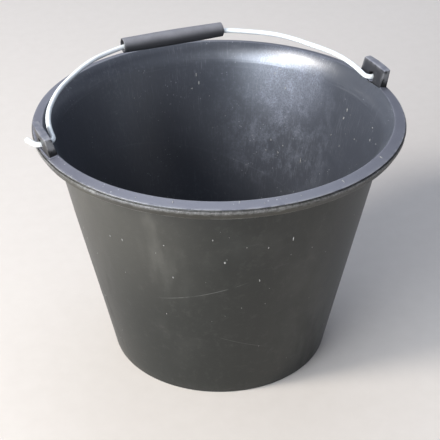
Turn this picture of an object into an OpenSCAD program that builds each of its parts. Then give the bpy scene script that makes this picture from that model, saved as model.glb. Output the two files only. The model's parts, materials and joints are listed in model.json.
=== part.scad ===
// Builder's bucket with a wire bail and a tube grip.
// The bucket stands on Z = 0 with its axis on Z. The bail turns about a line along X.
// At rest the bail leans back towards +Y, a little above the mouth.

/* [Bucket] */
// Diameter over the rim's lip
rim_dia = 326.4; // [324:0.2:330]
// Diameter of the base
base_dia = 200.8; // [196:0.2:203]
// Height of the mouth's edge above the ground
bucket_h = 232.4; // [228:0.2:236]
// Lean of the side wall from upright, in degrees
wall_lean = 11.78; // [11.4:0.02:12]
// Thickness of the moulding
wall = 2.6; // [2.2:0.1:2.8]
// Height of the flared band under the mouth's edge
flare_h = 18.4; // [16:0.2:20]
// Radius of the flared band, measured inside the bucket
flare_r = 36; // [34:0.5:40]
// Height of the foot ring that holds the floor off the ground
foot_h = 4; // [2.5:0.5:6]
// Radial thickness of the foot ring
foot_w = 4; // [3:0.5:6]
// Fillet radius between floor and side wall
floor_fillet = 9; // [5:0.5:14]

/* [Rim] */
// Fall of the rim's top face from the mouth's edge to the lip
rim_fall = 2.6; // [2:0.1:3.4]
// Depth of the lip below the rim's outer edge
lip_h = 9.8; // [8.6:0.2:11]
// Thickness of the lip's skirt
lip_wall = 2.4; // [2:0.1:2.6]
// Inward draft of the skirt from the bead to its lower edge
lip_draft = 3; // [2:0.2:4]
// Height of the upright bead at the top of the skirt
bead_h = 2.6; // [2:0.2:3.4]
// Depth of the parting groove that runs round the lip
groove_depth = 0.9; // [0.4:0.1:1.2]
// Width of the parting groove
groove_w = 1.3; // [0.8:0.1:1.5]
// Number of webs under the rim at each lug
web_count = 3; // [1:1:5]

/* [Lugs] */
// Width of a lug along the rim
lug_w = 36.3; // [30:0.1:40]
// Height of a lug above the mouth's edge
lug_h = 15.6; // [14.4:0.1:17]
// Thickness of a lug at its foot
lug_foot = 7.5; // [6.5:0.1:8]
// Thickness of a lug at its top
lug_top = 5.9; // [5:0.1:6.4]
// Outward shift of a lug's inner face from its foot to its top
lug_shift = 4.6; // [4:0.1:5]
// Radius of a lug's two top corners
lug_corner = 1; // [0.6:0.2:4]
// Diameter of the hole that the bail hooks into
lug_hole = 7.4; // [7:0.1:7.6]

/* [Bail] */
// Diameter of the bail's wire
wire_dia = 4.5; // [4:0.1:4.8]
// Height of the pivot line above the ground
pivot_z = 235.5; // [235.3:0.1:236.5]
// Rise of the bail above level as it rests, in degrees
bail_rise = 10.2; // [0:0.1:90]
// Distance of the leg's foot bend from the bucket's axis
leg_u = 148.2; // [147.6:0.1:148.6]
// Inward lean of the legs, in degrees
leg_lean = 5; // [4:0.5:6]
// Length of the straight leg
leg_len = 8.1; // [6:0.1:10]
// Radius of the shoulders
shoulder_r = 85; // [82:0.5:88]
// Turn of the shoulders, in degrees
shoulder_turn = 26.5; // [25.5:0.5:27.5]
// Radius of the crown's two arcs
crown_r = 141.5; // [139:0.5:143]
// Radius of the bend that turns the leg into its lug
foot_bend_r = 6; // [5.6:0.1:6.4]
// Distance of the hook's bend from the bucket's axis
hook_u = 160.5; // [160.5:0.1:162]
// Radius of the hook's bend outside the lug
hook_bend_r = 6; // [5.6:0.1:7]
// Turn of the hook's bend, in degrees
hook_turn = 60; // [45:1:90]
// Straight length of the hook's tail
hook_tail = 8.5; // [4:0.5:10]

/* [Grip] */
// Length of the grip
grip_len = 99; // [90:1:100]
// Diameter of the grip at its middle
grip_mid_dia = 14.8; // [14.4:0.1:16]
// Diameter of the grip at its ends
grip_end_dia = 13.9; // [13.5:0.1:14.8]
// Diameter of the grip's bore
grip_bore = 10.2; // [10.2:0.1:11]
// Distance that the grip has slid from the bail's middle towards +X
grip_slide = 4.5; // [0:0.5:6]

/* [Hidden] */
$fn = 96;
overlap = 1;            // how far joined solids run into each other
bow_share = 0.53;       // where the grip's axis lies in the wire's bow, from its chord to its crown
wire_overlap = 0.3;     // how far a straight run of wire reaches into the bend beside it
wire_swell = 0.12;      // extra diameter of a straight run, so that it takes in the bend's end
shoulder_gap = 1;       // straight run between the shoulder and the crown
arc_steps = 12;         // straight runs in a rounded stretch of an outline
edge_r = 0.8;           // radius on the rim's and the grip's edges
foot_edge_r = 1.5;      // radius on the bucket's bottom edge
lip_inset = 0.8;        // step of the rim's top edge inside the lip
hole_rise = 1;          // hole centre above the pivot line, so the wire hangs low in its hole
web_angle = 0.8;        // thickness of a web, in degrees round the bucket
web_pitch = 5;          // spacing of the webs, in degrees
gate_r = 14;            // radius of the boss under the floor's middle
gate_drop = 1.2;        // depth of that boss
foot_draft = 0.3;       // taper of the foot ring's inner side
groove_drop = 1.1;      // fall of the groove's middle below the lip's top edge
under_turn = 9;         // degrees of the flare that the rim's sheet takes in from below
lug_draft = 0.1;        // outward step of a lug's inner face at the mouth's edge

rim_r = rim_dia / 2;
base_r = base_dia / 2;
wall_across = wall / cos(wall_lean);
flare_z = bucket_h - flare_h;
floor_z = foot_h + wall;
top_edge_r = rim_r - lip_inset;
groove_z = bucket_h - rim_fall - groove_drop;
lip_z = bucket_h - rim_fall - lip_h;
skirt_r = rim_r - lip_wall;
groove_r = top_edge_r - groove_depth;
groove_low = groove_z - groove_w / 2;
groove_high = groove_z + groove_w / 2;

// Outer radius of the straight side wall at height z
function wall_r(z) = base_r + z * tan(wall_lean);

// Points on an arc about c, from angle a0 to a1
function arc(c, r, a0, a1, n = arc_steps) =
    [for (i = [0:n]) c + r * [cos(a0 + (a1 - a0) * i / n), sin(a0 + (a1 - a0) * i / n)]];

// The flare's centre, outside the wall, and the angle at which it meets the mouth's edge
flare_c = [wall_r(flare_z) - wall_across + flare_r * cos(wall_lean), flare_z - flare_r * sin(wall_lean)];
mouth_a = asin((bucket_h - flare_c[1]) / flare_r);
mouth_r = flare_c[0] - flare_r * cos(mouth_a);

// Height of the rim's top face at radius r
rim_slope = rim_fall / (top_edge_r - mouth_r);
function rim_z(r) = bucket_h - (r - mouth_r) * rim_slope;
rim_a = atan(rim_slope);
sheet = wall / cos(rim_a);

// The angle at which the flare's outer face meets the underside of the rim's sheet
under_a = mouth_a - under_turn;
under_r = flare_c[0] - (flare_r - wall) * cos(under_a);

// Centre of a fillet of radius r between the floor and the leaning wall
fillet_r = wall_r(floor_z) - wall_across - floor_fillet * tan(45 - wall_lean / 2);

lug_u = sqrt(pow(mouth_r, 2) - pow(lug_w / 2, 2));
lug_top_z = bucket_h + lug_h;
lug_reach = lug_foot + lug_shift + lug_top;
pivot = [0, 0, pivot_z];

// Bail outline in its own plane: u runs along the pivot line, v away from it
function polar(r, a) = r * [cos(a), sin(a)];
foot_c = [leg_u + foot_bend_r * cos(leg_lean), foot_bend_r];
leg_start = foot_c + polar(foot_bend_r, leg_lean - 180);
leg_end = leg_start + polar(leg_len, 90 + leg_lean);
shoulder_c = leg_end - polar(shoulder_r, leg_lean);
crown_a = leg_lean + shoulder_turn;
shoulder_end = shoulder_c + polar(shoulder_r, crown_a);
crown_start = shoulder_end + polar(shoulder_gap, 90 + crown_a);
crown_c = crown_start - polar(crown_r, crown_a);
crown_v = crown_c[1] + crown_r;
hook_c = [hook_u, hook_bend_r];
hook_end = hook_c + polar(hook_bend_r, hook_turn - 90);

// Distance of the crown's wire from the pivot line at u
function crown(u) = abs(u) < crown_c[0] ? crown_v :
    crown_c[1] + sqrt(pow(crown_r, 2) - pow(abs(u) - crown_c[0], 2));

// The grip lies along the chord between its two ends, with the wire's bow inside its bore
grip_u0 = grip_slide - grip_len / 2;
grip_u1 = grip_slide + grip_len / 2;
grip_tilt = atan((crown(grip_u1) - crown(grip_u0)) / grip_len);
grip_chord = (crown(grip_u0) + crown(grip_u1)) / 2;
grip_v = grip_chord + bow_share * (crown_v - grip_chord);

// Half-section of the shell, from the floor's middle round the outside and back inside
shell_outline = concat(
    [[0, foot_h], [base_r - foot_w, foot_h], [base_r - foot_w - foot_draft, 0]],
    arc([base_r - foot_edge_r, foot_edge_r], foot_edge_r, -90, -wall_lean),
    [[wall_r(flare_z), flare_z]],
    arc(flare_c, flare_r - wall, 180 - wall_lean, 180 - under_a),
    [[under_r + overlap, rim_z(under_r + overlap) - sheet], [skirt_r, rim_z(skirt_r) - sheet]],
    arc([skirt_r - lip_draft + edge_r, lip_z + edge_r], edge_r, 180, 270),
    arc([rim_r - lip_draft - edge_r, lip_z + edge_r], edge_r, 270, 360),
    [[rim_r, groove_low - bead_h]],
    arc([rim_r - edge_r, groove_low - edge_r], edge_r, 0, 90),
    [[groove_r, groove_low], [groove_r, groove_high], [top_edge_r, groove_high]],
    [[top_edge_r, rim_z(top_edge_r)], [mouth_r + edge_r, rim_z(mouth_r + edge_r)]],
    arc(flare_c, flare_r, 180 - mouth_a, 180 - wall_lean),
    arc([fillet_r, floor_z + floor_fillet], floor_fillet, -wall_lean, -90),
    [[0, floor_z]]
);

// Section of one web between the wall, the rim's sheet and the skirt
web_outline = [
    [wall_r(lip_z) - overlap, lip_z + overlap],
    [skirt_r - lip_draft + overlap, lip_z + overlap],
    [skirt_r + overlap / 2, rim_z(skirt_r) - sheet + overlap],
    [under_r, rim_z(under_r) - sheet + overlap]
];

// Side view of a lug: its inner face, top and outer face, run down into the rim's sheet
lug_outline = [
    [lug_u, rim_z(lug_u) - sheet / 2],
    [lug_u + lug_draft, bucket_h],
    [lug_u + lug_shift, lug_top_z],
    [lug_u + lug_shift + lug_top, lug_top_z],
    [lug_u + lug_foot, rim_z(lug_u + lug_foot)],
    [lug_u + lug_foot, rim_z(lug_u + lug_foot) - sheet / 2]
];

// Front view of a lug, with rounded top corners
lug_face = concat(
    [[-lug_w / 2, lip_z], [lug_w / 2, lip_z]],
    arc([lug_w / 2 - lug_corner, lug_top_z - lug_corner], lug_corner, 0, 90),
    arc([-lug_w / 2 + lug_corner, lug_top_z - lug_corner], lug_corner, 90, 180)
);

module shell() {
    rotate_extrude() polygon(shell_outline);
    translate([0, 0, foot_h - gate_drop]) cylinder(h = gate_drop + overlap, r = gate_r);
}

module webs() {
    for (i = [0:web_count - 1])
        rotate([0, 0, (i - (web_count - 1) / 2) * web_pitch - web_angle / 2])
            rotate_extrude(angle = web_angle) polygon(web_outline);
}

module lug() {
    difference() {
        intersection() {
            translate([0, lug_w / 2, 0]) rotate([90, 0, 0]) linear_extrude(lug_w) polygon(lug_outline);
            translate([lug_u - overlap, 0, 0])
                rotate([90, 0, 90]) linear_extrude(lug_reach) polygon(lug_face);
        }
        translate([lug_u - overlap, 0, pivot_z + hole_rise])
            rotate([0, 90, 0]) cylinder(h = lug_reach, d = lug_hole);
    }
}

module bucket() {
    color([0.10, 0.10, 0.11]) union() {
        shell();
        for (side = [0, 180])
            rotate([0, 0, side]) {
                webs();
                lug();
            }
    }
}

// A straight run of wire from point a to point b in the bail's plane
module wire_run(a, b) {
    run = b - a;
    translate([a[0], a[1], 0])
        rotate([0, 0, atan2(run[1], run[0])]) rotate([0, 90, 0])
            translate([0, 0, -wire_overlap])
                cylinder(h = norm(run) + 2 * wire_overlap, d = wire_dia + wire_swell);
}

// A bend of wire about c, from angle a0 through turn
module wire_bend(c, r, a0, turn) {
    translate([c[0], c[1], 0])
        rotate([0, 0, a0]) rotate_extrude(angle = turn) translate([r, 0]) circle(d = wire_dia);
}

module half_bail() {
    wire_run(hook_end + polar(hook_tail, hook_turn), hook_end);
    wire_bend(hook_c, hook_bend_r, -90, hook_turn);
    wire_run([hook_u, 0], [foot_c[0], 0]);
    wire_bend(foot_c, foot_bend_r, leg_lean - 180, 90 - leg_lean);
    wire_run(leg_start, leg_end);
    wire_bend(shoulder_c, shoulder_r, leg_lean, shoulder_turn);
    wire_run(shoulder_end, crown_start);
    wire_bend(crown_c, crown_r, crown_a, 90 - crown_a);
}

module bail() {
    color([0.78, 0.80, 0.82])
        translate(pivot) rotate([bail_rise, 0, 0]) {
            half_bail();
            mirror([1, 0, 0]) half_bail();
            wire_run([-crown_c[0], crown_v], [crown_c[0], crown_v]);
        }
}

// Half-section of the grip: a slightly barrelled tube with rounded rims
grip_outline = concat(
    [[grip_bore / 2, -grip_len / 2], [grip_end_dia / 2 - edge_r, -grip_len / 2]],
    [for (i = [-arc_steps:arc_steps])
        let (t = i / arc_steps)
        [grip_mid_dia / 2 - (grip_mid_dia - grip_end_dia) / 2 * pow(t, 2), t * (grip_len / 2 - edge_r)]],
    [[grip_end_dia / 2 - edge_r, grip_len / 2], [grip_bore / 2, grip_len / 2]]
);

module grip() {
    color([0.24, 0.24, 0.25])
        translate(pivot) rotate([bail_rise, 0, 0])
            translate([grip_slide, grip_v, 0]) rotate([0, 0, grip_tilt]) rotate([0, 90, 0])
                rotate_extrude() polygon(grip_outline);
}

bucket();
bail();
grip();
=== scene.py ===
import json
import math

import bpy
import numpy as np
from mathutils import Matrix, Vector


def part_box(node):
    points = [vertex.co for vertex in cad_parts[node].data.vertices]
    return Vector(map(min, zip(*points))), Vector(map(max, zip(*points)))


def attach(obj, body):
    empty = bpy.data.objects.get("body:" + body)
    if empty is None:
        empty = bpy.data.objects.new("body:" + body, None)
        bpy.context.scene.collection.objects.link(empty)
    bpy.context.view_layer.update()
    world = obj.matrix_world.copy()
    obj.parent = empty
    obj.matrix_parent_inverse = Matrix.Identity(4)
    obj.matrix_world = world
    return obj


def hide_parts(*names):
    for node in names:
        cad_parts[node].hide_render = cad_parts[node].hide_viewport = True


# A black plastic builder's bucket with a galvanised wire bail and a plastic tube grip.
# Mesh code works in millimetres in the CAD frame, and put_mesh() turns them into metres.

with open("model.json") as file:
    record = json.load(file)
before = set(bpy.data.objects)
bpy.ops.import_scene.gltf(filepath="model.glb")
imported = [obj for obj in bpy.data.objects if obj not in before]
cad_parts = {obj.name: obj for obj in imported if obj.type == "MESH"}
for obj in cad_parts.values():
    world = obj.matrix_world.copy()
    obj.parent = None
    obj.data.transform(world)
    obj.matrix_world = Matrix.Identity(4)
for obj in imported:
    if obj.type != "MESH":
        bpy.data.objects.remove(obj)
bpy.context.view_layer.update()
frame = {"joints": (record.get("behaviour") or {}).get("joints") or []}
MM = 0.001

# ------------------------------------------------------------------ sizes of the CAD, in mm
bucket_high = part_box("bucket")[1] / MM
joints = {joint["name"]: joint for joint in frame["joints"]}
PIVOT_Z = joints["bail_swing"]["pos_m"][2] / MM
RIM_R = bucket_high.y
LUG_TOP = bucket_high.z
BASE_R = 100.4
LEAN = 11.78
WALL = 2.6
FOOT_H = 4.0
FLARE_Z = 214.0
FLARE_R = 36.0
FLARE_C = (177.615, 206.650)
MOUTH_R, MOUTH_Z = 152.46, 232.4
TOP_R, TOP_Z = RIM_R - 0.8, 229.8
SHEET = 2.69
SKIRT_R = RIM_R - 2.4
LIP_Z, LIP_DRAFT, BEAD_LOW = 220.0, 3.0, 225.45
GROOVE_R, GROOVE_LOW, GROOVE_HIGH = RIM_R - 1.7, 228.05, 229.35
FILLET_C, FILLET_R = (91.8, 15.6), 9.0
LUG_U, LUG_W = 151.37, 36.3
WIRE_R = 2.25
GRIP_LEN, GRIP_SLIDE = 99.0, 4.5
BAIL_RISE = 10.2
WEAR_FADE = 0.9
WARP, WARP_PITCH = 0.12, 160.0


def rim_z(r):
    """Height of the rim's sloping top face at radius r."""
    return MOUTH_Z - (r - MOUTH_R) * (MOUTH_Z - TOP_Z) / (TOP_R - MOUTH_R)


# ------------------------------------------------------------------ points and meshes
def line(*points):
    return np.array(points, float)


def arc(centre, radius, start, stop, steps=24):
    a = np.radians(np.linspace(start, stop, steps + 1))
    return np.stack([centre[0] + radius * np.cos(a), centre[1] + radius * np.sin(a)], 1)


def resample(points, step, skip_start=0.0, skip_end=0.0):
    """Evenly spaced points along a polyline, leaving out a length at each end."""
    along = np.concatenate([[0], np.cumsum(np.linalg.norm(np.diff(points, axis=0), axis=1))])
    length = along[-1] - skip_start - skip_end
    at = np.linspace(skip_start, along[-1] - skip_end, max(2, math.ceil(length / step) + 1))
    return np.stack([np.interp(at, along, points[:, k]) for k in range(points.shape[1])], 1)


def eased(stretches, reaches, bend_steps):
    """One outline from (points, step) stretches, with each corner rounded over its reach.
    Also gives how worn each point is: 1 at a corner, fading within a few millimetres."""
    rows = []
    corners = [s[0][-1] for s in stretches[:-1]]
    for k, (points, step) in enumerate(stretches):
        before = reaches[k - 1] if k else 0.0
        after = reaches[k] if k < len(reaches) else 0.0
        piece = resample(points, step, before, after)
        if k:
            a, b, c = rows[-1][-1], corners[k - 1], piece[0]
            t = np.linspace(0, 1, bend_steps + 2)[1:-1, None]
            rows.append((1 - t) ** 2 * a + 2 * t * (1 - t) * b + t**2 * c)
        rows.append(piece)
    outline = np.concatenate(rows)
    gap = np.linalg.norm(outline[:, None] - np.array(corners)[None], axis=2).min(1)
    return outline, np.exp(-gap / WEAR_FADE)


def ring_faces(rows, columns, first=0):
    """Quads between rows of points that each close round on themselves."""
    i = np.arange(rows - 1)[:, None] * columns
    j = np.arange(columns)[None]
    k = (j + 1) % columns
    quads = np.stack([i + j, i + k, i + columns + k, i + columns + j], 2).reshape(-1, 4)
    return (quads + first).tolist()


def cap_faces(start, columns, centre, flip):
    """A fan from a row of points to one centre point."""
    j = np.arange(columns)
    k = (j + 1) % columns
    a, b = (k, j) if flip else (j, k)
    return [[int(start + p), int(start + q), int(centre)] for p, q in zip(a, b)]


def put_mesh(name, points, faces, materials, wear_and_highlight=None, face_material=None):
    """A Blender object from points in millimetres."""
    mesh = bpy.data.meshes.new(name)
    mesh.from_pydata((np.asarray(points, float) * MM).tolist(), [], faces)
    mesh.validate()
    if wear_and_highlight is not None:
        wears = mesh.attributes.new("wear_and_highlight", "FLOAT", "POINT")
        wears.data.foreach_set("value", np.asarray(wear_and_highlight, np.float32))
    for material in materials:
        mesh.materials.append(material)
    if face_material is not None:
        mesh.polygons.foreach_set("material_index", np.asarray(face_material, np.int32))
    mesh.polygons.foreach_set("use_smooth", [True] * len(mesh.polygons))
    mesh.update()
    made = bpy.data.objects.new(name, mesh)
    bpy.context.scene.collection.objects.link(made)
    return made


def apply_modifiers(piece):
    """Replaces the piece's mesh by what its modifiers make of it."""
    bpy.context.view_layer.update()
    shown = piece.evaluated_get(bpy.context.evaluated_depsgraph_get())
    mesh = bpy.data.meshes.new_from_object(shown)
    piece.modifiers.clear()
    piece.data = mesh
    return piece


def waves(angle, height, seed):
    """A smooth seeded unevenness round the bucket: the slight warp of a moulding."""
    random = np.random.default_rng(seed)
    total = np.zeros(np.broadcast(angle, height).shape)
    for order in range(2, 10):
        phase, drift = random.uniform(0, 2 * math.pi, 2)
        lean = random.uniform(0.4, 1.0) / WARP_PITCH
        size = random.uniform(0.5, 1.0) / order
        total = total + size * np.cos(order * angle + phase) * np.cos(2 * math.pi * lean * height + drift)
    return WARP * total


# ------------------------------------------------------------------ materials
class Look:
    """A material, with short calls for the nodes that the looks share."""

    def __init__(self, name):
        self.material = bpy.data.materials.new(name)
        self.material.use_nodes = True
        self.tree = self.material.node_tree
        self.shader = self.tree.nodes["Principled BSDF"]
        self.place = self.tree.nodes.new("ShaderNodeTexCoord").outputs["Object"]

    def put(self, socket, value):
        if isinstance(value, bpy.types.NodeSocket):
            self.tree.links.new(value, socket)
        else:
            socket.default_value = value

    def node(self, kind, *values, out=0, **settings):
        made = self.tree.nodes.new("ShaderNode" + kind)
        for key, value in settings.items():
            setattr(made, key, value)
        for socket, value in zip(made.inputs, values):
            if value is not None:
                self.put(socket, value)
        return made.outputs[out]

    def math(self, operation, a, b=0.0):
        return self.node("Math", a, b, operation=operation)

    def ramp(self, value, low, high, to_low=0.0, to_high=1.0):
        return self.node("MapRange", value, low, high, to_low, to_high, interpolation_type="SMOOTHSTEP")

    def scaled(self, by):
        return self.node("VectorMath", self.place, by, operation="MULTIPLY")

    def noise(self, where, scale, detail=4.0, roughness=0.55, distortion=0.0):
        return self.node("TexNoise", where, None, scale, detail, roughness, 2.0, None, None, distortion)

    def cells(self, where, scale):
        return self.node("TexVoronoi", where, None, scale)

    def mix(self, amount, a, b):
        made = self.tree.nodes.new("ShaderNodeMix")
        made.data_type = "RGBA"
        self.put(made.inputs[0], amount)
        self.put(made.inputs[6], a)
        self.put(made.inputs[7], b)
        return made.outputs[2]

    def coat(self, colour, mask, share, over):
        """A colour with a share of another over it where the mask is 1."""
        return self.mix(self.math("MULTIPLY", mask, share), colour, over)

    def attribute(self, name):
        made = self.tree.nodes.new("ShaderNodeAttribute")
        made.attribute_name = name
        return made.outputs["Fac"]

    def round(self, across, up):
        """A seamless place on the wall: finer across gives upright streaks, finer up gives rings."""
        x, y, z = (self.tree.nodes.new("ShaderNodeSeparateXYZ").outputs[k] for k in range(3))
        self.tree.links.new(self.place, x.node.inputs[0])
        for socket, other in ((y, x), (z, x)):
            self.tree.links.new(self.place, socket.node.inputs[0])
        flat = self.node("VectorMath", self.place, (1, 1, 0), operation="MULTIPLY")
        unit = self.node("VectorMath", flat, operation="NORMALIZE")
        wide = self.node("VectorMath", unit, (across, across, 0), operation="MULTIPLY")
        tall = self.node("CombineXYZ", 0.0, 0.0, self.math("MULTIPLY", z, up))
        return self.node("VectorMath", wide, tall, operation="ADD")

    def near(self, centre, inner, outer):
        """1 within inner metres of a point, fading to 0 at outer."""
        gap = self.node("VectorMath", self.place, centre, operation="DISTANCE", out=1)
        return self.ramp(gap, inner, outer, 1.0, 0.0)

    def level(self, lean_x, lean_y, height, half_width):
        """1 along the line where a tilted plane meets the surface, such as a scratch or a thin line round
        the wall.
        """
        gap = self.math("ABSOLUTE", self.above(lean_x, lean_y, height))
        return self.ramp(gap, 0.0, half_width, 1.0, 0.0)

    def above(self, lean_x, lean_y, height):
        """Metres above a tilted plane."""
        reach = self.node("VectorMath", self.place, (-lean_x, -lean_y, 1.0), operation="DOT_PRODUCT", out=1)
        return self.math("SUBTRACT", reach, height)

    def along(self, direction, low, high):
        """0 to 1 as a point's reach in a direction goes from low to high metres."""
        reach = self.node("VectorMath", self.place, direction, operation="DOT_PRODUCT", out=1)
        return self.ramp(reach, low, high)

    def upward(self, low, high):
        """1 on faces that look up, fading to 0 on upright ones."""
        facing = self.tree.nodes.new("ShaderNodeNewGeometry").outputs["Normal"]
        rise = self.node("VectorMath", facing, (0, 0, 1), operation="DOT_PRODUCT", out=1)
        return self.ramp(rise, low, high)

    def both(self, *masks):
        total = masks[0]
        for mask in masks[1:]:
            total = self.math("MULTIPLY", total, mask)
        return total

    def bump(self, height, distance, strength=1.0, under=None):
        made = self.tree.nodes.new("ShaderNodeBump")
        made.inputs["Strength"].default_value = strength
        made.inputs["Distance"].default_value = distance
        self.tree.links.new(height, made.inputs["Height"])
        if under is not None:
            self.tree.links.new(under, made.inputs["Normal"])
        return made.outputs["Normal"]

    def finish(self, colour, roughness, normal=None, **plain):
        self.put(self.shader.inputs["Base Color"], colour)
        self.put(self.shader.inputs["Roughness"], roughness)
        if normal is not None:
            self.put(self.shader.inputs["Normal"], normal)
        for key, value in plain.items():
            self.shader.inputs[key.replace("_", " ")].default_value = value
        return self.material


def rgb(r, g, b):
    return (r, g, b, 1.0)


def outside_plastic():
    """The wall outside: black, lighter and brownish to its left and right, partly dusting and partly a
    painted sheen of the side light and the floor's reflection, with two scratches at the front.
    """
    look = Look("plastic_outside")
    smear = look.ramp(look.noise(look.round(3.0, 9.0), 1.0, 5.0, 0.6), 0.45, 0.75)
    rubbed = look.ramp(look.noise(look.round(2.6, 300.0), 1.0, 3.0, 0.6), 0.60, 0.80)
    grime = look.ramp(look.noise(look.place, 11.0, 6.0, 0.6), 0.50, 0.75)
    fine = look.noise(look.place, 900.0, 2.0)
    scratch = look.both(
        look.level(0.39, 0.0, 0.1500, 0.0006),
        look.near((-0.062, -0.108, 0.122), 0.022, 0.046),
        look.ramp(look.noise(look.place, 60.0), 0.32, 0.50))
    lighter = look.both(
        look.level(-0.42, 0.10, 0.0640, 0.0005),
        look.near((-0.020, -0.118, 0.085), 0.020, 0.040),
        look.ramp(look.noise(look.place, 75.0), 0.38, 0.56))
    mottle = look.ramp(look.noise(look.place, 150.0, 6.0, 0.75), 0.50, 0.72)
    knocks_and_highlight = look.both(look.attribute("wear_and_highlight"), look.ramp(look.noise(look.place, 260.0), 0.42, 0.66))
    colour = look.coat(rgb(0.0080, 0.0098, 0.0080), smear, 0.5, rgb(0.020, 0.0215, 0.0175))
    colour = look.coat(colour, grime, 0.25, rgb(0.075, 0.074, 0.066))
    # Painted sheen, partly dusting: lighter and brownish high on the left and right of the wall, where the
    # side light and the floor's reflection fall.
    left = look.math("MULTIPLY", look.along((-1, 0, 0), 0.045, 0.115), 0.72)
    sides = look.math("ADD", left, look.along((1, -0.35, 0), 0.075, 0.155))
    dust_and_sheen = look.both(sides, look.along((0, 0, 1), 0.06, 0.20), look.ramp(smear, 0.0, 1.0, 0.35, 0.75))
    colour = look.mix(dust_and_sheen, colour, rgb(0.130, 0.122, 0.103))
    colour = look.coat(colour, look.both(rubbed, grime), 0.30, rgb(0.10, 0.10, 0.095))
    colour = look.coat(colour, mottle, 0.16, rgb(0.090, 0.090, 0.080))
    colour = look.coat(colour, scratch, 0.45, rgb(0.20, 0.20, 0.19))
    colour = look.coat(colour, lighter, 0.40, rgb(0.16, 0.16, 0.15))
    colour = look.coat(colour, knocks_and_highlight, 0.55, rgb(0.26, 0.26, 0.25))
    roughness = look.ramp(smear, 0.0, 1.0, 0.40, 0.54)
    normal = look.bump(fine, 0.00012, 0.4)
    normal = look.bump(rubbed, 0.00005, 0.4, normal)
    return look.finish(colour, roughness, normal, IOR=1.50)


def rim_plastic():
    """The rim's top and the lugs: black, dusted on what looks up, with a blue tint there that is a painted
    sky reflection.
    """
    look = Look("plastic_rim")
    smear = look.ramp(look.noise(look.place, 34.0, 5.0, 0.6), 0.4, 0.75)
    fine = look.noise(look.place, 1100.0, 2.0)
    dust_and_sheen = look.upward(0.15, 0.80)
    # Pale marks at knocks and corners, and the painted highlight along the rim's outer top edge.
    knocks_and_highlight = look.both(look.attribute("wear_and_highlight"), look.ramp(look.noise(look.place, 150.0), 0.34, 0.58))
    specks = look.both(
        look.ramp(look.cells(look.place, 210.0), 0.10, 0.16, 1.0, 0.0),
        look.ramp(look.noise(look.place, 53.0, 3.0), 0.57, 0.63))
    # What looks up is dusted, and its blue tint is a painted reflection of the sky.
    pale_coat = look.coat(rgb(0.137, 0.140, 0.168), smear, 0.5, rgb(0.176, 0.180, 0.209))
    # Darker towards the rim's left end, below the lugs' tops.
    below_lugs = look.ramp(look.above(0, 0, 0.233), 0, 0.003, 1, 0)
    left_end = look.both(look.along((-1, 0, 0), 0.110, 0.160), below_lugs)
    pale_coat = look.coat(pale_coat, left_end, 0.45, rgb(0.075, 0.075, 0.095))
    colour = look.mix(dust_and_sheen, rgb(0.014, 0.014, 0.015), pale_coat)
    colour = look.coat(colour, knocks_and_highlight, 0.6, rgb(0.36, 0.36, 0.37))
    colour = look.coat(colour, specks, 0.7, rgb(0.42, 0.42, 0.42))
    roughness = look.ramp(smear, 0.0, 1.0, 0.36, 0.46)
    look.put(look.shader.inputs["Specular IOR Level"], look.ramp(dust_and_sheen, 0.0, 0.4, 0.15, 0.5))
    return look.finish(colour, roughness, look.bump(fine, 0.0001, 0.4), IOR=1.52)


def lip_plastic():
    """The bead and skirt: pale along the bead, partly rubbed and partly a painted highlight, olive brown
    below it.
    """
    look = Look("plastic_lip")
    smear = look.ramp(look.noise(look.place, 20.0, 5.0, 0.6), 0.4, 0.75)
    fine = look.noise(look.place, 1000.0, 2.0)
    # Pale along the bead: rubbing, together with a painted highlight on its rounded top.
    bead = look.level(0.0, 0.0, 0.2270, 0.0022)
    rough = look.ramp(look.noise(look.round(90.0, 520.0), 1.0, 5.0, 0.7), 0.40, 0.68, 0.30, 1.0)
    patchy = look.ramp(look.noise(look.place, 17.0, 3.0), 0.36, 0.60, 0.35, 1.0)
    foot_patches = look.ramp(look.noise(look.place, 40.0), 0.40, 0.60)
    foot = look.both(look.level(0.0, 0.0, 0.2203, 0.0009), foot_patches)
    knocks_and_highlight = look.both(look.attribute("wear_and_highlight"), look.ramp(look.noise(look.place, 230.0), 0.42, 0.62))
    colour = look.mix(smear, rgb(0.020, 0.019, 0.014), rgb(0.045, 0.042, 0.030))
    colour = look.coat(colour, look.both(bead, rough, patchy), 0.70, rgb(0.28, 0.275, 0.275))
    colour = look.coat(colour, foot, 0.45, rgb(0.20, 0.20, 0.19))
    colour = look.coat(colour, knocks_and_highlight, 0.5, rgb(0.30, 0.30, 0.29))
    roughness = look.ramp(smear, 0.0, 1.0, 0.42, 0.56)
    normal = look.bump(fine, 0.00012, 0.4)
    normal = look.bump(look.both(bead, rough), 0.0001, 0.6, normal)
    return look.finish(colour, roughness, normal, IOR=1.48)


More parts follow.
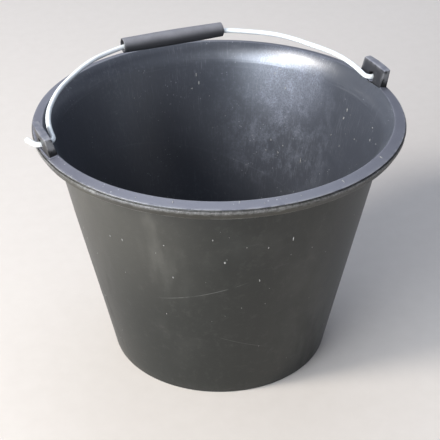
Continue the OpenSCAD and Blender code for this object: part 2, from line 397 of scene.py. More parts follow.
def inside_plastic():
    """The inside: bluish black, hazed by dried mortar on the far right, with fine upright scratches, a
    painted glare high on the far right and painted shade in the middle of the far wall.
    """
    look = Look("plastic_inside")
    cloud = look.noise(look.place, 9.0, 5.0, 0.6)
    mottle = look.noise(look.place, 30.0, 6.0, 0.7)
    clouded = look.ramp(cloud, 0.40, 0.62)
    upright = look.noise(look.round(60.0, 9.0), 1.0, 4.0, 0.65)
    streaks = look.both(look.ramp(upright, 0.50, 0.80), clouded)
    short = look.noise(look.round(190.0, 85.0), 1.0, 3.0, 0.6)
    ticks = look.both(look.ramp(short, 0.55, 0.70), look.ramp(mottle, 0.38, 0.58))
    level_lines = look.noise(look.round(2.2, 520.0), 1.0, 2.0, 0.5)
    rings = look.both(look.ramp(level_lines, 0.52, 0.70), look.level(0.0, 0.0, 0.2150, 0.0080))
    grain = look.ramp(look.noise(look.place, 620.0, 3.0, 0.7), 0.38, 0.62, 0.35, 1.0)
    smears = look.ramp(look.noise(look.round(9.0, 50.0), 1.0, 8.0, 0.78), 0.45, 0.62)
    haze = look.both(look.near((0.095, 0.075, 0.150), 0.01, 0.095), smears, grain)
    pale_coat = look.both(look.ramp(look.noise(look.place, 300.0, 4.0, 0.7), 0.50, 0.68), clouded)
    specks = look.both(
        look.ramp(look.cells(look.place, 260.0), 0.08, 0.17, 1.0, 0.0),
        look.ramp(look.noise(look.place, 36.0, 3.0), 0.54, 0.62))
    # A thin lighter line along a tilted plane across the inside, and a little darker below it.
    slant_plane = (-0.26, 0.23, 0.110)
    slant_line = look.both(look.level(*slant_plane, 0.0011), look.ramp(mottle, 0.38, 0.60))
    below_slant = look.ramp(look.above(*slant_plane), -0.004, 0.001, 1.0, 0.0)
    # Painted shade: darker in the middle of the far wall.
    middle = look.near((0.022, 0.128, 0.148), 0.020, 0.075)
    smeared = look.ramp(smears, 0.0, 1.0, 0.6, 1.0)
    # Painted highlight: a pale bluish glare on the flare at the back right, broken up by grain and smears.
    painted_glare = look.both(look.near((0.112, 0.082, 0.206), 0.012, 0.060), grain, smeared)
    colour = look.coat(rgb(0.050, 0.055, 0.068), streaks, 0.45, rgb(0.110, 0.119, 0.146))
    colour = look.coat(colour, pale_coat, 0.30, rgb(0.17, 0.18, 0.21))
    colour = look.coat(colour, haze, 0.42, rgb(0.24, 0.26, 0.31))
    colour = look.coat(colour, rings, 0.22, rgb(0.20, 0.21, 0.23))
    colour = look.coat(colour, below_slant, 0.18, rgb(0.045, 0.048, 0.054))
    colour = look.coat(colour, slant_line, 0.16, rgb(0.20, 0.21, 0.23))
    colour = look.coat(colour, ticks, 0.26, rgb(0.26, 0.27, 0.30))
    colour = look.coat(colour, specks, 0.60, rgb(0.44, 0.45, 0.47))
    colour = look.coat(colour, middle, 0.45, rgb(0.030, 0.033, 0.040))
    colour = look.coat(colour, painted_glare, 0.48, rgb(0.36, 0.39, 0.48))
    roughness = look.ramp(mottle, 0.30, 0.75, 0.31, 0.35)
    normal = look.bump(streaks, 0.00007, 0.5)
    normal = look.bump(ticks, 0.00007, 0.5, normal)
    normal = look.bump(rings, 0.00006, 0.5, normal)
    return look.finish(colour, roughness, normal, IOR=1.85)


def dried_mortar():
    look = Look("dried_mortar")
    grit = look.noise(look.place, 900.0, 4.0, 0.6)
    colour = look.mix(grit, rgb(0.17, 0.17, 0.16), rgb(0.42, 0.415, 0.39))
    return look.finish(colour, 0.9, look.bump(grit, 0.0003, 0.8))


def zinc_wire():
    look = Look("zinc_wire")
    spangle = look.noise(look.place, 420.0, 3.0, 0.5)
    drawn = look.noise(look.scaled((60.0, 900.0, 900.0)), 1.0, 3.0)
    dull = look.ramp(look.noise(look.place, 70.0, 4.0, 0.6), 0.42, 0.70)
    colour = look.mix(dull, rgb(0.93, 0.96, 0.95), rgb(0.85, 0.88, 0.87))
    roughness = look.ramp(spangle, 0.3, 0.7, 0.36, 0.52)
    normal = look.bump(drawn, 0.00008, 0.6)
    normal = look.bump(spangle, 0.00012, 0.5, normal)
    return look.finish(colour, roughness, normal, Metallic=0.20)


def grip_plastic():
    look = Look("plastic_grip")
    mottle = look.noise(look.place, 95.0, 5.0, 0.6)
    fine = look.noise(look.place, 1400.0, 2.0)
    lines = look.noise(look.scaled((40.0, 1100.0, 1100.0)), 1.0, 2.0)
    edge = look.both(look.attribute("wear_and_highlight"), look.ramp(look.noise(look.place, 240.0), 0.4, 0.65))
    # Paler on what looks up and dark beneath: partly dusting on top, partly painted light from above and
    # painted shade underneath.
    pale_coat = look.mix(look.ramp(mottle, 0.35, 0.7), rgb(0.185, 0.183, 0.196), rgb(0.225, 0.222, 0.238))
    colour = look.mix(look.upward(-0.05, 0.98), rgb(0.040, 0.039, 0.042), pale_coat)
    colour = look.coat(colour, edge, 0.4, rgb(0.15, 0.15, 0.15))
    roughness = look.ramp(mottle, 0.3, 0.7, 0.52, 0.66)
    normal = look.bump(fine, 0.00012, 0.5)
    normal = look.bump(lines, 0.00008, 0.4, normal)
    return look.finish(colour, roughness, normal, IOR=1.48)


OUTSIDE, RIM, INSIDE, LIP = outside_plastic(), rim_plastic(), inside_plastic(), lip_plastic()
ZINC, CHARCOAL, MORTAR = zinc_wire(), grip_plastic(), dried_mortar()

# ------------------------------------------------------------------ the bucket's shell
COLUMNS = 440
WALL_STEP, FLOOR_STEP = 10.0, 12.0
AXIS_R = 0.01
GATE_R, GATE_Z = 14.0, 2.8
FOOT_W, FOOT_DRAFT = 4.3, 0.3
FLARE_TOP, UNDER_TOP = 134.33, 143.33
tan_lean = math.tan(math.radians(LEAN))
wall_top = (BASE_R + FLARE_Z * tan_lean, FLARE_Z)
under = arc(FLARE_C, FLARE_R - WALL, 180 - LEAN, UNDER_TOP)
flare = arc(FLARE_C, FLARE_R, FLARE_TOP, 180 - LEAN)
foot_inner = BASE_R - FOOT_W
fillet = arc(FILLET_C, FILLET_R, -LEAN, -90)
skirt_top = rim_z(SKIRT_R) - SHEET

stretches = [
    (line((AXIS_R, GATE_Z), (GATE_R, GATE_Z)), FLOOR_STEP),
    (line((GATE_R, GATE_Z), (GATE_R, FOOT_H)), 0.6),
    (line((GATE_R, FOOT_H), (foot_inner + FOOT_DRAFT, FOOT_H)), FLOOR_STEP),
    (line((foot_inner + FOOT_DRAFT, FOOT_H), (foot_inner, 0)), 1.2),
    (line((foot_inner, 0), (BASE_R, 0)), 1.0),
    (line((BASE_R, 0), wall_top), WALL_STEP),
    (under, 1.5),
    (line(under[-1], (SKIRT_R, skirt_top)), 1.5),
    (line((SKIRT_R, skirt_top), (SKIRT_R - LIP_DRAFT, LIP_Z)), 1.2),
    (line((SKIRT_R - LIP_DRAFT, LIP_Z), (RIM_R - LIP_DRAFT, LIP_Z)), 0.8),
    (line((RIM_R - LIP_DRAFT, LIP_Z), (RIM_R, BEAD_LOW)), 0.8),
    (line((RIM_R, BEAD_LOW), (RIM_R, GROOVE_LOW)), 0.6),
    (line((RIM_R, GROOVE_LOW), (GROOVE_R, GROOVE_LOW)), 0.5),
    (line((GROOVE_R, GROOVE_LOW), (GROOVE_R, GROOVE_HIGH)), 0.5),
    (line((GROOVE_R, GROOVE_HIGH), (TOP_R, GROOVE_HIGH)), 0.4),
    (line((TOP_R, GROOVE_HIGH), (TOP_R, TOP_Z)), 0.3),
    (line((TOP_R, TOP_Z), (MOUTH_R, MOUTH_Z)), 1.0),
    (flare, 1.6),
    (line(flare[-1], fillet[0]), WALL_STEP),
    (fillet, 2.0),
    (line(fillet[-1], (AXIS_R, FOOT_H + WALL)), FLOOR_STEP),
]
reaches = [
    0.4, 0.5, 0.8, 0.5, 1.3, 2.0, 1.5, 0.9, 0.7, 0.7,
    0.6, 0.5, 0.25, 0.25, 0.1, 0.35, 0.9, 0.5, 0.5, 0.5,
]
outline, outline_wear = eased(stretches, reaches, 3)

NICK_HALF_HEIGHT = 1.6
NICKS = [  # angle, height, half-width, depth: dents knocked into the lip
    (-172, 226, 3.0, 0.9), (-152, 227, 2.4, 0.8), (-160, 227, 1.8, 0.5), (-116, 226, 2.0, 0.5),
    (-108, 227, 1.6, 0.4), (-97, 226, 2.2, 0.5), (-62, 227, 2.0, 0.6), (-38, 226, 2.6, 0.6),
    (12, 227, 2.2, 0.6), (58, 227, 1.8, 0.5), (105, 226, 2.6, 0.7), (148, 227, 2.0, 0.6),
]


def lathe(outline, columns):
    """The angle, radius and height of every point of a turned outline."""
    angle = 2 * math.pi * np.arange(columns)[None] / columns
    r, z = (np.broadcast_to(outline[:, [k]], (len(outline), columns)).copy() for k in (0, 1))
    return angle, r, z


SHRINK_OUTER, SHRINK_INNER, SINK = 0.25, 0.10, 0.15
LEFT_IN = 1.0  # how much nearer the axis the rim's left end lies


def inner_share(r):
    """How far across the rim's top face a radius lies: 0 at its outer edge, 1 at the mouth."""
    return np.clip((TOP_R - r) / (TOP_R - MOUTH_R), 0, 1)


def warped(angle, r, z, inner):
    """How far a point of the uneven shell moves out and up. The inner face (inner = 1) clears the bail."""
    rise = np.clip(z / 60, 0, 1) * np.clip((r - 30) / 30, 0, 1)
    high = np.clip((z - 150) / 60, 0, 1)
    out_by = (waves(angle, z, seed=11) - SHRINK_OUTER + (SHRINK_OUTER - SHRINK_INNER) * inner) * rise
    out_by = out_by + LEFT_IN / 2 * (np.cos(angle) - 1) * high * (1 - inner)
    return out_by, (waves(angle, WARP_PITCH + 0 * r, seed=12) - SINK) * high


angle, r, z = lathe(outline, COLUMNS)
mouth_row = int(np.argmin(np.linalg.norm(outline - (MOUTH_R, MOUTH_Z), axis=1)))
groove_row = int(np.argmin(np.linalg.norm(outline - (GROOVE_R, GROOVE_HIGH), axis=1)))
inner = inner_share(outline[:, :1])
inner[:groove_row] = 0
inner[mouth_row:] = 1
out_by, up_by = warped(angle, r, z, inner)
r += out_by
z += up_by
lip = np.clip((outline[:, :1] - SKIRT_R - 0.8) / 0.8, 0, 1) * (outline[:, 1:] < GROOVE_LOW + 0.1)
knocked = np.zeros_like(r)
for at, height, half_width, depth in NICKS:
    turn = (np.degrees(angle) - at + 180) % 360 - 180
    across = np.radians(turn) * RIM_R
    mark = np.exp(-((across / half_width) ** 2) - ((z - height) / NICK_HALF_HEIGHT) ** 2)
    r -= depth * mark * lip
    knocked += mark * lip
points = np.stack([r * np.cos(angle), r * np.sin(angle), z], 2).reshape(-1, 3)
rows = len(outline)
faces = ring_faces(rows, COLUMNS)
ON_OUTSIDE, ON_RIM, ON_INSIDE, ON_LIP = range(4)
zone = np.full(rows - 1, ON_OUTSIDE)
skirt_row = int(np.argmin(np.linalg.norm(outline - (SKIRT_R - LIP_DRAFT, LIP_Z), axis=1)))
zone[skirt_row:groove_row] = ON_LIP
zone[groove_row:mouth_row] = ON_RIM
zone[mouth_row:] = ON_INSIDE
face_zone = np.repeat(zone, COLUMNS).tolist()
low_centre, high_centre = len(points), len(points) + 1
points = np.concatenate([points, [[0, 0, outline[0, 1]], [0, 0, outline[-1, 1]]]])
faces += cap_faces(0, COLUMNS, low_centre, True)
faces += cap_faces((rows - 1) * COLUMNS, COLUMNS, high_centre, False)
face_zone += [ON_OUTSIDE] * COLUMNS + [ON_INSIDE] * COLUMNS
# Painted highlight: a light line along the rim's outer top edge, carried in one attribute with the corner
# and knock marks.
top_edge_highlight = np.exp(-np.linalg.norm(outline - (TOP_R, TOP_Z), axis=1) / 0.7)
wear_and_highlight = ((0.35 * outline_wear + 0.6 * top_edge_highlight)[:, None] + knocked).clip(0, 1).ravel()
wear_and_highlight = np.concatenate([wear_and_highlight, [0, 0]])
shell = put_mesh("bucket_shell", points, faces, [OUTSIDE, RIM, INSIDE, LIP], wear_and_highlight, face_zone)
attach(shell, "bucket")
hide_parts("bucket")

# ------------------------------------------------------------------ flecks of dried mortar
FLECK_SIDES = 12
FLECK_FOOT, FLECK_PEAK = -0.25, 0.38
FLECK_RINGS = [(1.0, FLECK_FOOT), (1.0, 0.04), (0.72, 0.22), (0.35, 0.34)]  # spread, lift
FLECKS_OUTSIDE = [  # angle, height, width, length
    (-156, 168, 0.8, 1.6), (-150, 170, 0.9, 2.4), (-133, 177, 0.9, 1.2), (-116, 188, 1.0, 1.6),
    (-112, 163, 1.3, 2.2), (-99, 139, 0.9, 2.8), (-88, 179, 0.9, 3.6), (-97, 175, 1.1, 1.4),
    (-131, 142, 0.8, 1.8), (-136, 96, 0.9, 1.6),
]
FLECKS_INSIDE = [  # angle, height, width, length
    (75, 203, 1.1, 4.2), (74, 195, 1.0, 3.6), (77, 190, 1.2, 1.6), (38, 196, 1.2, 2.6),
    (41, 213, 2.8, 1.1), (43, 208, 1.2, 2.4), (6, 198, 1.0, 3.0), (7, 189, 1.2, 2.4),
    (-15, 204, 1.0, 2.0), (-16, 193, 1.0, 3.0), (42, 142, 1.6, 1.6), (36, 139, 1.4, 1.6),
    (38, 131, 1.3, 2.0), (44, 131, 1.2, 1.2), (26, 130, 1.1, 4.5),
]
FLECKS_RIM = [  # angle, distance from the axis, width, length
    (-127, 156, 0.8, 2.6), (-108, 154, 0.9, 1.6), (-75, 156, 0.9, 3.0), (-56, 156, 1.0, 3.2),
    (-138, 158, 0.8, 1.8), (-101, 158, 0.7, 1.4), (-90, 157, 0.8, 1.2), (-152, 161, 0.9, 1.6),
    (-161, 161, 0.8, 2.0),
]


def shifted(at, radius, height, inner):
    """The radius and height that one point of the shell has once it is warped."""
    place = (np.array([[float(value)]]) for value in (at, radius, height))
    out_by, up_by = warped(*place, inner)
    return radius + out_by[0, 0], height + up_by[0, 0]


def wall_point(at, height, inside):
    """A point of the wall, and which way it faces."""
    radius = BASE_R + height * tan_lean - (WALL / math.cos(math.radians(LEAN)) if inside else 0.0)
    if inside and height > FLARE_Z:
        radius = FLARE_C[0] - math.sqrt(FLARE_R**2 - (height - FLARE_C[1]) ** 2)
    radius, height = shifted(at, radius, height, float(inside))
    lean = math.radians(LEAN)
    facing = np.array([math.cos(at) * math.cos(lean), math.sin(at) * math.cos(lean), -math.sin(lean)])
    return np.array([radius * math.cos(at), radius * math.sin(at), height]), -facing if inside else facing


def rim_point(at, radius):
    """A point of the rim's sloping top, and which way it faces."""
    slope = math.atan2(MOUTH_Z - TOP_Z, TOP_R - MOUTH_R)
    radius, height = shifted(at, radius, rim_z(radius), inner_share(radius))
    outward = np.array([math.cos(at), math.sin(at), 0.0])
    return radius * outward + (0, 0, height), math.sin(slope) * outward + (0, 0, math.cos(slope))


def flecks(name, placed, count, seed, surface):
    """Small uneven domes that stick to a surface, joined in one mesh."""
    random = np.random.default_rng(seed)
    placed = [(math.radians(a), h, w, l) for a, h, w, l in placed]
    for _ in range(count):
        size = random.uniform(0.28, 0.65)
        at, height = random.uniform(-math.pi, math.pi), random.uniform(25, 205)
        placed.append((at, height, size, size * random.uniform(1.1, 3.0)))
    points, faces = [], []
    for at, reach, width, length in placed:
        centre, facing = surface(at, reach)
        along = np.array([-math.sin(at), math.cos(at), 0.0])
        up = np.cross(facing, along)
        up *= np.sign(up[2]) or 1.0
        first = len(points)
        ragged = 1 + 0.28 * random.standard_normal(FLECK_SIDES).clip(-1.5, 1.5)
        for spread, lift in FLECK_RINGS:
            for k in range(FLECK_SIDES):
                a = 2 * math.pi * k / FLECK_SIDES
                reach_out = width / 2 * math.cos(a) * along + length / 2 * math.sin(a) * up
                points.append(centre + spread * ragged[k] * reach_out + lift * facing)
        faces += ring_faces(len(FLECK_RINGS), FLECK_SIDES, first)
        points += [centre + FLECK_FOOT * facing, centre + FLECK_PEAK * facing]
        faces += cap_faces(first, FLECK_SIDES, len(points) - 2, True)
        last_ring = first + (len(FLECK_RINGS) - 1) * FLECK_SIDES
        faces += cap_faces(last_ring, FLECK_SIDES, len(points) - 1, False)
    made = put_mesh(name, points, faces, [MORTAR])
    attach(made, "bucket")


flecks("mortar_flecks_outside", FLECKS_OUTSIDE, 70, 21, lambda at, height: wall_point(at, height, False))
flecks("mortar_flecks_inside", FLECKS_INSIDE, 150, 22, lambda at, height: wall_point(at, height, True))
flecks("mortar_flecks_rim", FLECKS_RIM, 0, 23, rim_point)

# ------------------------------------------------------------------ the two lugs and the webs under them
LUG_EDGE = 0.7
LUG_CORNER = 1.0
LUG_FILLET = 1.2
LUG_BOW = 1.1
LUG_LEAN = 4.6  # how far the inner face leans out from foot to top
LUG_FOOT_T, LUG_TOP_T = 7.5, 5.9
LUG_SINK = 226.5  # the lug starts inside the rim at this height
LUG_BEND_STEPS, LUG_SIDE_STEPS = 6, 14
HOLE_Z, HOLE_R, HOLE_SIDES = PIVOT_Z + 1.0, 3.7, 64
CUTTER_PAST = 6.0
WEB_T, WEB_EDGE, WEB_GAP = 2.2, 0.35, 5


def direction(degrees):
    return np.array([math.cos(math.radians(degrees)), math.sin(math.radians(degrees))])


def rounded_loop(half_u, half_y, radius):
    """A rounded rectangle round the origin, with the direction that each point faces."""
    corners = np.array([(1, -1), (1, 1), (-1, 1), (-1, -1)]) * (half_u - radius, half_y - radius)
    points, facing = [], []
    for k, centre in enumerate(corners):
        for step in range(LUG_BEND_STEPS + 1):
            facing.append(direction(-90 + 90 * k + 90 * step / LUG_BEND_STEPS))
            points.append(centre + radius * facing[-1])
        start, stop = points[-1], corners[(k + 1) % 4] + radius * direction(90 * k)
        for step in range(1, LUG_SIDE_STEPS):
            points.append(start + (stop - start) * step / LUG_SIDE_STEPS)
            facing.append(direction(90 * k))
    return np.array(points), np.array(facing)


def lug_thickness(share):
    return LUG_FOOT_T + (LUG_TOP_T - LUG_FOOT_T) * share


def rounding(height, top, radius):
    """How far a rounded edge of this radius has drawn in at a height below its top."""
    past = max(0.0, height - (top - radius)) / radius
    return radius * (1 - math.sqrt(max(0.0, 1 - past**2)))


def hole_cutter(name, side):
    """The shape of a lug's hole, which flares at both faces and reaches past them."""
    share = (HOLE_Z - MOUTH_Z) / (LUG_TOP - MOUTH_Z)
    inner_face, thick = LUG_U + LUG_LEAN * share, lug_thickness(share)
    mouth = [(-CUTTER_PAST, 2.0), (-0.35, 0.75), (0.1, 0.3), (0.6, 0.06), (1.2, 0.0)]  # depth, widening
    profile = mouth + [(thick - depth, wider) for depth, wider in mouth[::-1]]
    ring = 2 * math.pi * np.arange(HOLE_SIDES) / HOLE_SIDES
    rows = [
        np.stack([np.full(HOLE_SIDES, inner_face + x), r * np.cos(ring), HOLE_Z + r * np.sin(ring)], 1)
        for x, r in ((x, HOLE_R + wider) for x, wider in profile)]
    centres = [[inner_face + x, 0, HOLE_Z] for x, _ in (profile[0], profile[-1])]
    points = np.concatenate(rows + [centres])
    points[:, :2] *= side
    faces = ring_faces(len(profile), HOLE_SIDES)
    faces += cap_faces(0, HOLE_SIDES, len(points) - 2, True)
    faces += cap_faces((len(profile) - 1) * HOLE_SIDES, HOLE_SIDES, len(points) - 1, False)
    return put_mesh(name, points, faces, [RIM])


def lug(name, side):
    """A tapered plate standing on the rim, with a flared hole for the wire."""
    bare, crown = MOUTH_Z + 2.8, 2.2
    heights = np.concatenate([
        np.linspace(LUG_SINK, LUG_SINK + 2, 3)[:-1],
        np.linspace(LUG_SINK + 2, bare, 24)[:-1],
        np.linspace(bare, LUG_TOP - crown, 8)[:-1],
        LUG_TOP - crown * (1 - np.sin(np.radians(np.linspace(0, 90, 9)))),
    ])
    rows, wears = [], []
    for h in heights:
        share = max((h - MOUTH_Z) / (LUG_TOP - MOUTH_Z), 0.0)
        inner = LUG_U + LUG_LEAN * share
        outer = inner + lug_thickness(share)
        inset = rounding(h, LUG_TOP, LUG_EDGE)
        narrow = rounding(h, LUG_TOP, LUG_CORNER)
        half_u = (outer - inner) / 2 - inset
        loop, facing = rounded_loop(half_u, LUG_W / 2 - max(narrow, inset), min(LUG_EDGE, 0.95 * half_u))
        y = loop[:, 1]
        bow = LUG_BOW * np.clip(facing[:, 0], 0, 1) * (1 - (2 * y / LUG_W) ** 2)
        u = (inner + outer) / 2 + loop[:, 0] + bow
        clear = h - rim_z(np.hypot(u, y))
        below = np.clip(LUG_FILLET - clear, 0, LUG_FILLET)
        skirt = LUG_FILLET - np.sqrt(np.clip(LUG_FILLET**2 - below**2, 0, None))
        skirt = np.where(clear < 0, LUG_FILLET, skirt) * np.clip(facing[:, 0] + 1.0, 0, 1)
        skirt = np.where(facing[:, 0] < -0.5, 0, skirt)
        u = u + facing[:, 0] * skirt
        y = y + facing[:, 1] * skirt
        rows.append(np.stack([u, y, np.full(len(u), h)], 1))
        edge = np.exp(-np.abs(np.abs(loop[:, 1]) - LUG_W / 2) / 1.2) + math.exp(-(LUG_TOP - h) / 1.2)
        wears.append(0.8 * np.clip(edge, 0, 1) * min(1.0, max(0.0, (h - MOUTH_Z - 2) / 5)))
    columns = len(rows[0])
    points = np.concatenate(rows)
    uneven = np.sin(points[:, 1] / 7 + side) * np.clip((points[:, 2] - MOUTH_Z) / 10, 0, 1)
    points[:, 0] += 0.1 * uneven - 0.1
    points = np.concatenate([points, [rows[0].mean(0), rows[-1].mean(0)]])
    faces = ring_faces(len(rows), columns)
    faces += cap_faces(0, columns, len(points) - 2, True)
    faces += cap_faces((len(rows) - 1) * columns, columns, len(points) - 1, False)
    points[:, :2] *= side
    made = put_mesh(name, points, faces, [RIM], np.concatenate(wears + [[0, 0]]))
    cutter = hole_cutter(name + "_cutter", side)
    cut = made.modifiers.new("hole", "BOOLEAN")
    cut.operation, cut.solver, cut.object = "DIFFERENCE", "EXACT", cutter
    apply_modifiers(made)
    bpy.data.objects.remove(cutter)
    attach(made, "bucket")


def web(name, at):
    """A thin plate under the rim between the wall and the lip's skirt."""
    low_z, into_rim = LIP_Z + 1.2, 0.8
    under_r = under[-1][0]
    corners = [
        (BASE_R + LIP_Z * tan_lean - 1, low_z),
        (SKIRT_R - LIP_DRAFT + 1.2, low_z),
        (SKIRT_R + 0.4, skirt_top + into_rim),
        (under_r, rim_z(under_r) - SHEET + into_rim),
    ]
    points = []
    for y in (-WEB_T / 2, WEB_T / 2):
        for u, h in corners:
            points.append((u * math.cos(at) - y * math.sin(at), u * math.sin(at) + y * math.cos(at), h))
    faces = [[3, 2, 1, 0], [4, 5, 6, 7]] + [[k, (k + 1) % 4, (k + 1) % 4 + 4, k + 4] for k in range(4)]
    made = put_mesh(name, points, faces, [OUTSIDE], np.zeros(8))
    round_off = made.modifiers.new("round", "BEVEL")
    round_off.width, round_off.segments = WEB_EDGE * MM, 3
    apply_modifiers(made)
    made.data.polygons.foreach_set("use_smooth", [True] * len(made.data.polygons))
    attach(made, "bucket")


for word, side in (("right", 1), ("left", -1)):
    lug("lug_" + word, side)
    for k, offset in enumerate((-WEB_GAP, 0, WEB_GAP)):
        web(f"web_{word}_{k + 1}", math.radians(offset + (0 if side > 0 else 180)))

# ------------------------------------------------------------------ the bail
LEG_U, FOOT_BEND, LEG_LEAN, LEG_LEN = 148.2, 6.0, 5.0, 8.1
SHOULDER_R, SHOULDER_TURN, SHOULDER_GAP, CROWN_R = 85.0, 26.5, 1.0, 141.5
HOOK_U, HOOK_BEND, HOOK_TURN, HOOK_TAIL = 160.5, 6.0, 60.0, 8.5
WIRE_SIDES = 28
CUT_END_RADII = (1.55, 2.1)
SWAY_GAP, SWAY_EASE, SWAY_END = 4.5, 20.0, 142.0  # the wire is bent a little between its grip and shoulders


def polar(radius, degrees):
    return radius * direction(degrees)


def half_bail():
    """The wire's centre line from the crown's middle to the hook's cut end, in the bail's own plane."""
    foot_c = np.array([LEG_U + FOOT_BEND * math.cos(math.radians(LEG_LEAN)), FOOT_BEND])
    leg_start = foot_c + polar(FOOT_BEND, LEG_LEAN - 180)
    leg_end = leg_start + polar(LEG_LEN, 90 + LEG_LEAN)
    shoulder_c = leg_end - polar(SHOULDER_R, LEG_LEAN)
    turned = LEG_LEAN + SHOULDER_TURN
    shoulder_end = shoulder_c + polar(SHOULDER_R, turned)
    crown_start = shoulder_end + polar(SHOULDER_GAP, 90 + turned)
    crown_c = crown_start - polar(CROWN_R, turned)
    hook_c = np.array([HOOK_U, HOOK_BEND])
    hook_end = hook_c + polar(HOOK_BEND, HOOK_TURN - 90)
    stretches = [
        resample(line((0, crown_c[1] + CROWN_R), (crown_c[0], crown_c[1] + CROWN_R)), 3.0),
        arc(crown_c, CROWN_R, 90, turned, 44),
        arc(shoulder_c, SHOULDER_R, turned, LEG_LEAN, 22),
        resample(line(leg_end, leg_start), 2.0),
        arc(foot_c, FOOT_BEND, LEG_LEAN - 180, -90, 12),
        resample(line((foot_c[0], 0), (HOOK_U, 0)), 2.0),
        arc(hook_c, HOOK_BEND, -90, HOOK_TURN - 90, 10),
        resample(line(hook_end, hook_end + polar(HOOK_TAIL, HOOK_TURN)), 1.0),
    ]
    return np.concatenate([s if k == 0 else s[1:] for k, s in enumerate(stretches)])


def tilted(u, v, w):
    """From the bail's own plane (u along the pivot line, v away from it, w out of it) to the CAD frame."""
    a = math.radians(BAIL_RISE)
    return np.stack([u, v * math.cos(a) - w * math.sin(a), PIVOT_Z + v * math.sin(a) + w * math.cos(a)], 1)


def sweep(path, radii, sides):
    """A tube of round section along a path, carried along without twist, with a fan at each end."""
    tangent = np.gradient(path, axis=0)
    tangent /= np.linalg.norm(tangent, axis=1)[:, None]
    side = np.cross(tangent[0], (0, 0, 1.0))
    side /= np.linalg.norm(side)
    ring = 2 * math.pi * np.arange(sides) / sides
    rows = []
    for p, t, radius in zip(path, tangent, radii):
        side = side - (side @ t) * t
        side /= np.linalg.norm(side)
        other = np.cross(t, side)
        rows.append(p + radius * (np.cos(ring)[:, None] * side + np.sin(ring)[:, None] * other))
    points = np.concatenate(rows + [path[:1], path[-1:]])
    faces = ring_faces(len(rows), sides)
    faces += cap_faces(0, sides, len(points) - 2, True)
    faces += cap_faces((len(rows) - 1) * sides, sides, len(points) - 1, False)
    return points, faces


half = half_bail()
mirrored = half[::-1][:-1] * (-1, 1)
flat = np.concatenate([mirrored, half])
past_grip = np.clip((np.abs(flat[:, 0] - GRIP_SLIDE) - GRIP_LEN / 2 - SWAY_GAP) / SWAY_EASE, 0, 1)
free = past_grip * np.clip((SWAY_END - np.abs(flat[:, 0])) / SWAY_EASE, 0, 1)
sway = 0.45 * np.sin(flat[:, 0] / 13.0 + 0.6) + 0.3 * np.sin(flat[:, 0] / 7.3)
path = tilted(flat[:, 0], flat[:, 1] - 0.3 * free * np.abs(sway), free * sway)
radii = np.full(len(path), WIRE_R)
for shift, radius in enumerate(CUT_END_RADII):
    radii[shift] = radii[-1 - shift] = radius
points, faces = sweep(path, radii, WIRE_SIDES)
bail = put_mesh("bail_wire", points, faces, [ZINC])
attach(bail, "bail")
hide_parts("bail")

# ------------------------------------------------------------------ the grip
GRIP_MID, GRIP_END, GRIP_BORE = 14.8, 13.9, 10.2
grip_at = np.array(joints["grip_spin"]["pos_m"]) / MM
grip_axis = np.array(joints["grip_spin"]["axis"], float)
grip_axis /= np.linalg.norm(grip_axis)

share = np.linspace(-1, 1, 41)
barrel = np.stack([GRIP_MID / 2 - (GRIP_MID - GRIP_END) / 2 * share**2, share * GRIP_LEN / 2], 1)
half_len = GRIP_LEN / 2
grip_outline, grip_wear = eased([
    (line((GRIP_BORE / 2, half_len), (GRIP_BORE / 2, -half_len)), 6.0),
    (line((GRIP_BORE / 2, -half_len), (GRIP_END / 2, -half_len)), 0.8),
    (barrel, 2.5),
    (line((GRIP_END / 2, half_len), (GRIP_BORE / 2, half_len)), 0.8),
], [0.4, 0.7, 0.7], 4)
SIDES = 96
SEAM_AT, SEAM_WIDTH = 0.9, 0.035
turn = 2 * math.pi * np.arange(SIDES)[None] / SIDES
radius = np.broadcast_to(grip_outline[:, :1], (len(grip_outline), SIDES)).copy()
outer_side = np.clip((grip_outline[:, :1] - GRIP_BORE / 2 - 0.6) / 0.8, 0, 1)
length = grip_outline[:, 1:]
seams = [np.exp(-(((turn - at) / SEAM_WIDTH) ** 2)) for at in (SEAM_AT, SEAM_AT + math.pi)]
seam = np.maximum(*seams)
random = np.random.default_rng(5)
rough = 0
for order, pitch in ((1, 21.0), (2, 13.0), (3, 9.0), (2, 30.0), (4, 7.0)):
    size, phase, drift = random.uniform(0.3, 1.0), random.uniform(0, 6.3), random.uniform(0, 6.3)
    rough = rough + size * np.cos(order * turn + phase) * np.cos(length / pitch + drift)
radius += outer_side * (-0.18 + 0.05 * rough + 0.12 * seam)
side_a = np.cross(grip_axis, (0, 0, 1.0))
side_a /= np.linalg.norm(side_a)
side_b = np.cross(grip_axis, side_a)
outward = np.cos(turn)[..., None] * side_a + np.sin(turn)[..., None] * side_b
points = (grip_at + length[..., None] * grip_axis + radius[..., None] * outward).reshape(-1, 3)
faces = ring_faces(len(grip_outline), SIDES)
last = (len(grip_outline) - 1) * SIDES
faces += [[last + k, last + (k + 1) % SIDES, (k + 1) % SIDES, k] for k in range(SIDES)]
grip = put_mesh("grip_tube", points, faces, [CHARCOAL], np.repeat(grip_wear, SIDES))
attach(grip, "grip")
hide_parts("grip")

# ------------------------------------------------------------------ floor, light and camera
FLOOR_HALF, FLOOR_DROP = 6000.0, 0.2
floor_look = Look("floor")
grain = floor_look.noise(floor_look.place, 60.0, 6.0, 0.6)
floor_colour = floor_look.mix(grain, rgb(0.645, 0.595, 0.54), rgb(0.695, 0.645, 0.59))
floor_look.finish(floor_colour, 0.9)
floor_corners = [(x * FLOOR_HALF, y * FLOOR_HALF, 0) for x, y in ((-1, -1), (1, -1), (1, 1), (-1, 1))]
floor = put_mesh("floor", floor_corners, [[0, 1, 2, 3]], [floor_look.material])
floor.location.z = -FLOOR_DROP * MM

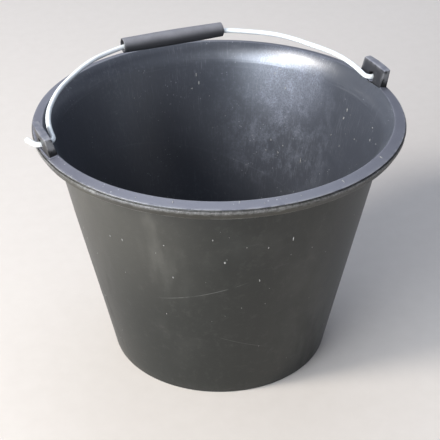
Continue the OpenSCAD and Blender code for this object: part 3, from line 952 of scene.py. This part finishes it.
world = bpy.data.worlds.new("sky")
world.use_nodes = True
world.node_tree.nodes["Background"].inputs[0].default_value = rgb(0.76, 0.83, 1.0)
world.node_tree.nodes["Background"].inputs[1].default_value = 0.42
bpy.context.scene.world = world
bpy.context.scene.view_settings.view_transform = "Standard"


def area_light(name, azimuth, elevation, distance, size, power, colour):
    """A soft lamp that looks at the bucket from a direction given in degrees."""
    a, e = math.radians(azimuth), math.radians(elevation)
    back = Vector((math.cos(a) * math.cos(e), math.sin(a) * math.cos(e), math.sin(e)))
    lamp = bpy.data.lights.new(name, "AREA")
    lamp.shape, lamp.size, lamp.energy, lamp.color = "DISK", size, power, colour
    made = bpy.data.objects.new(name, lamp)
    bpy.context.scene.collection.objects.link(made)
    made.location = Vector((0, 0, 0.12)) + back * distance
    made.rotation_mode = "QUATERNION"
    made.rotation_quaternion = back.to_track_quat("Z", "Y")
    return made


# azimuth, elevation, distance, size, power, colour; the sheen shows only as a reflection
area_light("key", 181, 36, 2.6, 0.7, 60, (1.0, 0.96, 0.91))
area_light("panel", 206, 25, 2.5, 2.5, 46, (0.95, 0.97, 1.0))
area_light("glow", 203, 12, 2.4, 1.5, 28, (0.82, 0.91, 1.0))
area_light("back", 62, 61, 2.6, 2.2, 20, (0.76, 0.85, 1.0))
area_light("sheen", 207, 13, 2.4, 2.0, 84, (0.72, 0.82, 1.0)).visible_diffuse = False

CAMERA_AT = (-0.3807, -0.8591, 0.7038)
HEADING, PITCH, ROLL, LENS = 23.95, 31.82, -0.31, 98.27
h, p, roll = (math.radians(v) for v in (HEADING, PITCH, ROLL))
forward = Vector((math.sin(h) * math.cos(p), math.cos(h) * math.cos(p), -math.sin(p)))
level = Vector((math.cos(h), -math.sin(h), 0))
upright = level.cross(forward)
right = math.cos(roll) * level + math.sin(roll) * upright
above = -math.sin(roll) * level + math.cos(roll) * upright
camera_data = bpy.data.cameras.new("camera")
camera_data.lens, camera_data.sensor_width = LENS, 36.0
camera = bpy.data.objects.new("camera", camera_data)
bpy.context.scene.collection.objects.link(camera)
turned = Matrix((right, above, -forward)).transposed().to_4x4()
camera.matrix_world = Matrix.Translation(CAMERA_AT) @ turned
bpy.context.scene.camera = camera
